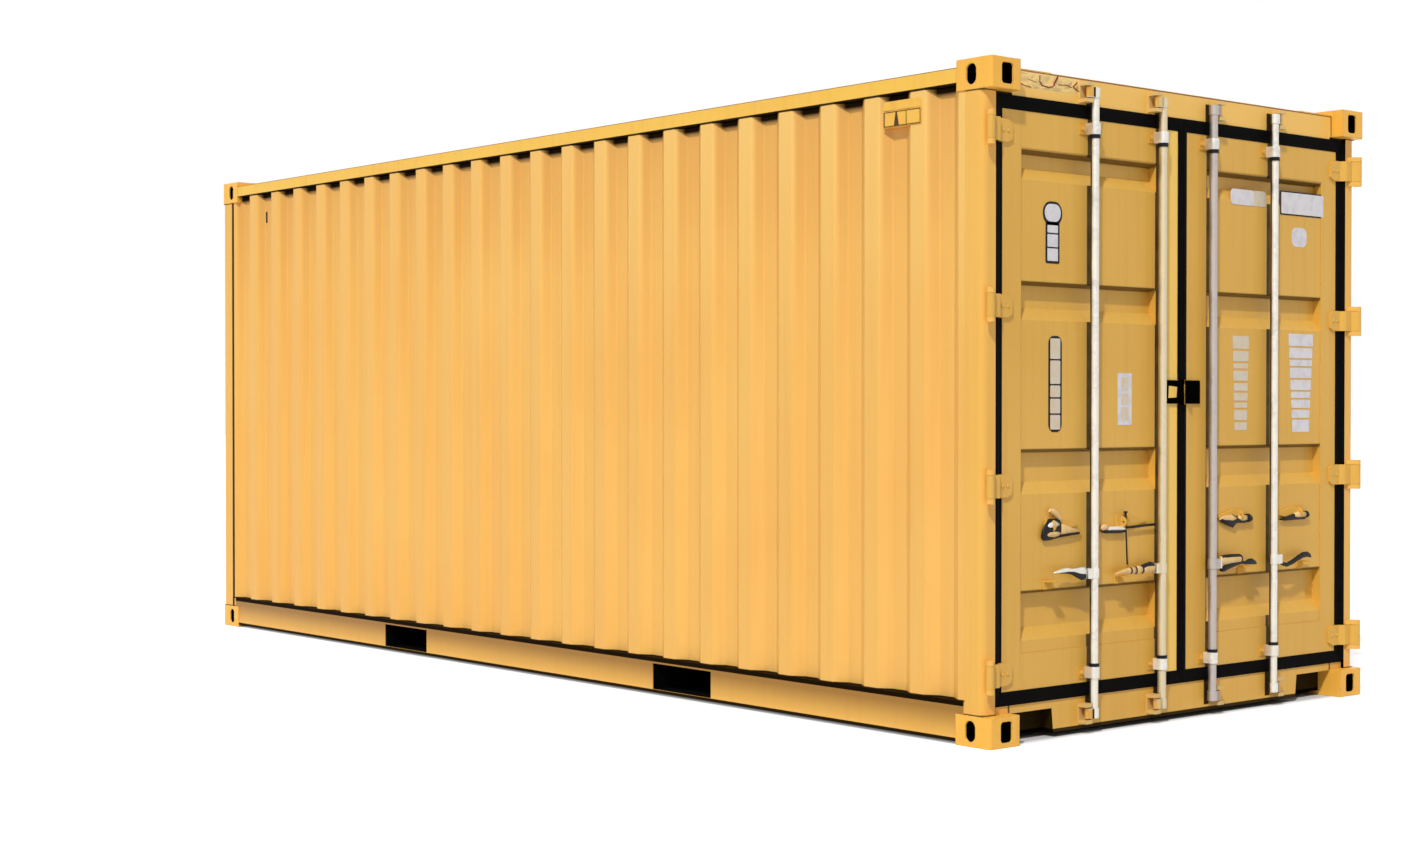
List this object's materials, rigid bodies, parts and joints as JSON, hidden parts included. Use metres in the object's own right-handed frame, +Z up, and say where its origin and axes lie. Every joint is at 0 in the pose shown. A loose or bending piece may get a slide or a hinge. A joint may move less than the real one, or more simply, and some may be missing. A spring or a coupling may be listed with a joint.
{
  "type": "shipping container",
  "caption": "Steel freight container with corrugated walls, hinged double doors with locking bars, fork pockets and corner castings.",
  "frame": {"origin": "middle of the rectangle on which the four bottom castings stand, at ground level", "axes": "+X along the length towards the doors, +Z up, +Y to the right of someone who faces the doors"},
  "size_m": [6.058, 2.438, 2.591],
  "materials": {
    "body_paint": "satin",
    "door_paint": "satin",
    "galvanised_steel": "satin",
    "gasket_rubber": "matte",
    "floor_plywood": "matte",
    "underseal": "matte",
    "vent_plastic": "matte"
  },
  "bodies": {
    "container": {"casting_bottom_rear_left": "body_paint", "casting_bottom_rear_right": "body_paint", "casting_bottom_front_left": "body_paint", "casting_bottom_front_right": "body_paint", "casting_top_rear_left": "body_paint", "casting_top_rear_right": "body_paint", "casting_top_front_left": "body_paint", "casting_top_front_right": "body_paint", "bottom_side_rail_left": "body_paint", "bottom_side_rail_right": "body_paint", "top_side_rail_left": "body_paint", "top_side_rail_right": "body_paint", "side_wall_left": "body_paint", "side_wall_right": "body_paint", "ventilator_left": "vent_plastic", "ventilator_right": "vent_plastic", "front_post_left": "body_paint", "front_post_right": "body_paint", "rear_post_left": "door_paint", "rear_post_right": "door_paint", "hinge_lugs_left": "door_paint", "hinge_lugs_right": "door_paint", "crossmembers": "underseal", "fork_pocket_front": "underseal", "fork_pocket_rear": "underseal", "floor_boards": "floor_plywood", "front_sill": "body_paint", "front_top_rail": "body_paint", "front_wall": "body_paint", "door_header": "door_paint", "door_sill": "door_paint", "lock_keepers": "galvanised_steel", "roof_panel": "body_paint", "roof_corner_plates": "body_paint"},
    "left_door": {"door_stiles_left": "door_paint", "door_rails_left": "door_paint", "door_panel_left": "door_paint", "door_gasket_left": "gasket_rubber", "hinge_blades_left": "door_paint", "bar_guides_left": "galvanised_steel", "door_fittings_left": "galvanised_steel"},
    "right_door": {"door_stiles_right": "door_paint", "door_rails_right": "door_paint", "door_panel_right": "door_paint", "door_gasket_right": "gasket_rubber", "hinge_blades_right": "door_paint", "bar_guides_right": "galvanised_steel", "door_fittings_right": "galvanised_steel"},
    "locking_bar_1": {"locking_bar_1": "galvanised_steel"},
    "handle_1": {"bar_handle_1": "galvanised_steel"},
    "locking_bar_2": {"locking_bar_2": "galvanised_steel"},
    "handle_2": {"bar_handle_2": "galvanised_steel"},
    "locking_bar_3": {"locking_bar_3": "galvanised_steel"},
    "handle_3": {"bar_handle_3": "galvanised_steel"},
    "locking_bar_4": {"locking_bar_4": "galvanised_steel"},
    "handle_4": {"bar_handle_4": "galvanised_steel"}
  },
  "joints": [
    {"name": "left_door_hinge", "type": "hinge", "parent": "container", "child": "left_door", "pos_m": [3.013, -1.203, 1.2955], "axis": [0, 0, -1], "range_deg": [0, 265]},
    {"name": "right_door_hinge", "type": "hinge", "parent": "container", "child": "right_door", "pos_m": [3.013, 1.203, 1.2955], "axis": [0, 0, 1], "range_deg": [0, 265]},
    {"name": "locking_bar_1_turn", "type": "hinge", "parent": "left_door", "child": "locking_bar_1", "pos_m": [3.002, -0.592, 1.2955], "axis": [0, 0, -1], "range_deg": [-110, 0]},
    {"name": "locking_bar_2_turn", "type": "hinge", "parent": "left_door", "child": "locking_bar_2", "pos_m": [3.002, -0.167, 1.2955], "axis": [0, 0, -1], "range_deg": [-110, 0]},
    {"name": "locking_bar_3_turn", "type": "hinge", "parent": "right_door", "child": "locking_bar_3", "pos_m": [3.002, 0.167, 1.2955], "axis": [0, 0, 1], "range_deg": [-110, 0]},
    {"name": "locking_bar_4_turn", "type": "hinge", "parent": "right_door", "child": "locking_bar_4", "pos_m": [3.002, 0.592, 1.2955], "axis": [0, 0, 1], "range_deg": [-110, 0]},
    {"name": "handle_1_lift", "type": "hinge", "parent": "locking_bar_1", "child": "handle_1", "pos_m": [3.002, -0.63, 0.63], "axis": [-1, 0, 0], "range_deg": [0, 12]},
    {"name": "handle_2_lift", "type": "hinge", "parent": "locking_bar_2", "child": "handle_2", "pos_m": [3.002, -0.205, 0.63], "axis": [-1, 0, 0], "range_deg": [0, 12]},
    {"name": "handle_3_lift", "type": "hinge", "parent": "locking_bar_3", "child": "handle_3", "pos_m": [3.002, 0.205, 0.63], "axis": [1, 0, 0], "range_deg": [0, 12]},
    {"name": "handle_4_lift", "type": "hinge", "parent": "locking_bar_4", "child": "handle_4", "pos_m": [3.002, 0.63, 0.63], "axis": [1, 0, 0], "range_deg": [0, 12]}
  ]
}
